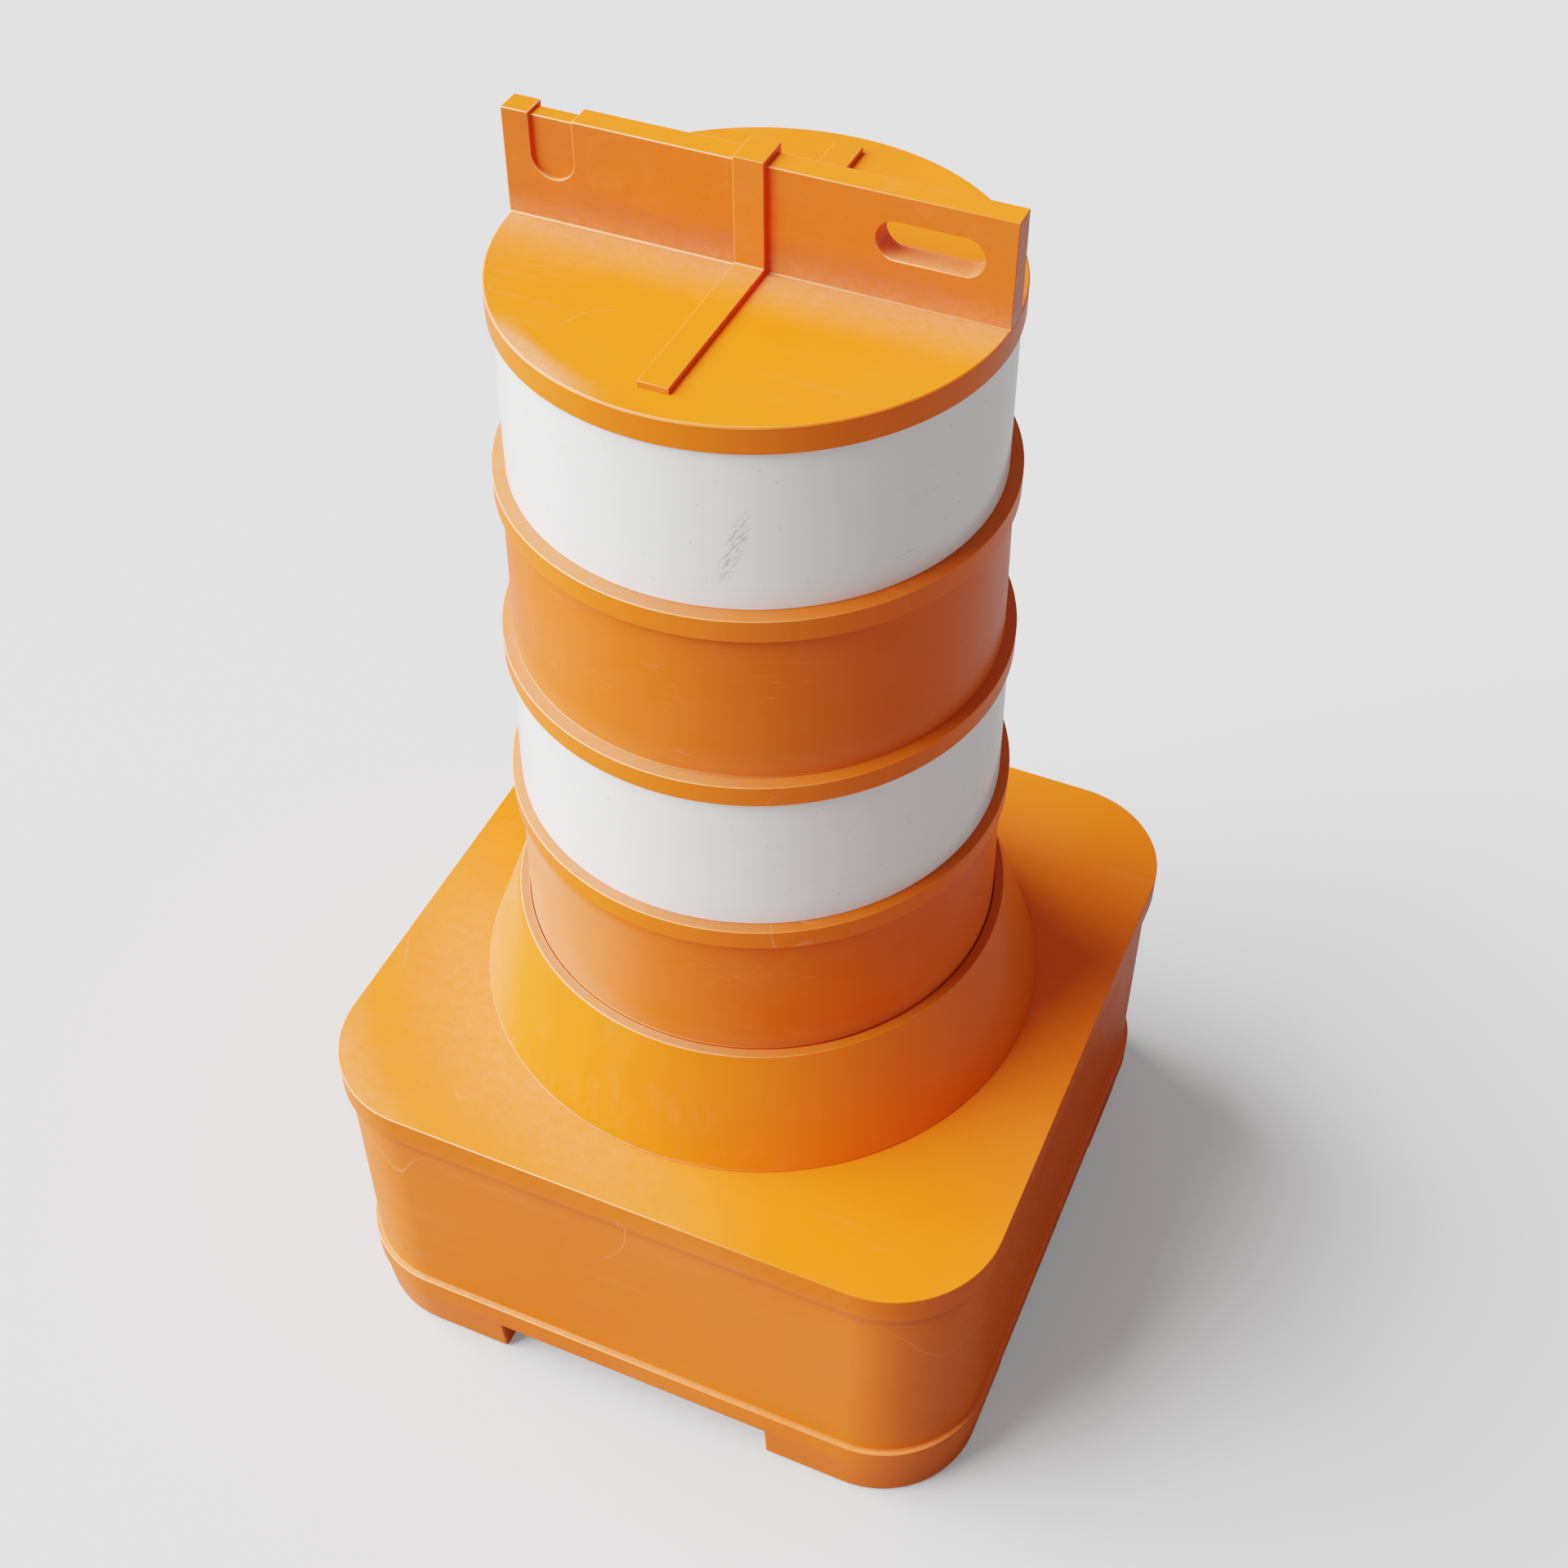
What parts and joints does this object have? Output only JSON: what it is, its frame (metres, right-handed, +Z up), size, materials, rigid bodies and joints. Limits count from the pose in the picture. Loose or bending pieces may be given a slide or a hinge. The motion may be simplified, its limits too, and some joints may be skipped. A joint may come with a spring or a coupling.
{
  "type": "traffic barrel drum",
  "caption": "Tall orange and white banded traffic drum with a lid and handle fin, standing in a conical collar on a square ballast base with fork channels.",
  "frame": {"origin": "on the ground, at the centre of the square base, on the drum axis", "axes": "+Z up along the drum axis; the handle fin and two sides of the base run along X; the front is -Y"},
  "size_m": [0.7548, 0.7548, 1.3853],
  "materials": {
    "orange_plastic": "moulded polyethylene, satin, lightly scuffed",
    "white_sheeting": "white reflective sheeting, scuffed",
    "orange_sheeting": "orange reflective sheeting, satin",
    "black_rubber": "matt moulded rubber",
    "ballast_rubber": "coarse recycled rubber crumb",
    "screw_steel": "zinc-plated steel"
  },
  "bodies": {
    "base": {"base_shell": "orange_plastic", "base_tray": "orange_plastic", "foot_pad_1": "black_rubber", "foot_pad_2": "black_rubber", "foot_pad_3": "black_rubber", "foot_pad_4": "black_rubber", "ballast_slab_lower": "ballast_rubber", "ballast_slab_upper": "ballast_rubber", "tray_screw_1": "screw_steel", "tray_screw_2": "screw_steel", "tray_screw_3": "screw_steel", "tray_screw_4": "screw_steel", "tray_screw_5": "screw_steel", "tray_screw_6": "screw_steel", "tray_screw_7": "screw_steel", "tray_screw_8": "screw_steel", "collar_cone": "orange_plastic", "collar_screw_1": "screw_steel", "collar_screw_2": "screw_steel", "collar_screw_3": "screw_steel", "collar_screw_4": "screw_steel", "collar_screw_5": "screw_steel", "collar_screw_6": "screw_steel"},
    "seat_ring": {"drum_seat_ring": "black_rubber"},
    "drum": {"drum_body": "orange_plastic", "white_sheet_upper": "white_sheeting", "orange_sheet_upper": "orange_sheeting", "white_sheet_lower": "white_sheeting", "orange_sheet_lower": "orange_sheeting"},
    "lid": {"lid": "orange_plastic", "lid_seal": "black_rubber", "handle_fin": "orange_plastic", "fin_screw_1": "screw_steel", "fin_screw_2": "screw_steel", "fin_screw_3": "screw_steel", "fin_screw_4": "screw_steel", "centre_strap": "orange_plastic", "strap_screw_front": "screw_steel", "strap_screw_rear": "screw_steel"}
  },
  "joints": [
    {"name": "drum_turn", "type": "hinge", "parent": "base", "child": "seat_ring", "pos_m": [0, 0, 0.4037], "axis": [0, 0, 1], "continuous": true},
    {"name": "drum_lift", "type": "slide", "parent": "seat_ring", "child": "drum", "axis": [0, 0, 1], "range_m": [0, 0.15]},
    {"name": "lid_lift", "type": "slide", "parent": "drum", "child": "lid", "axis": [0, 0, 1], "range_m": [0, 0.05]}
  ]
}
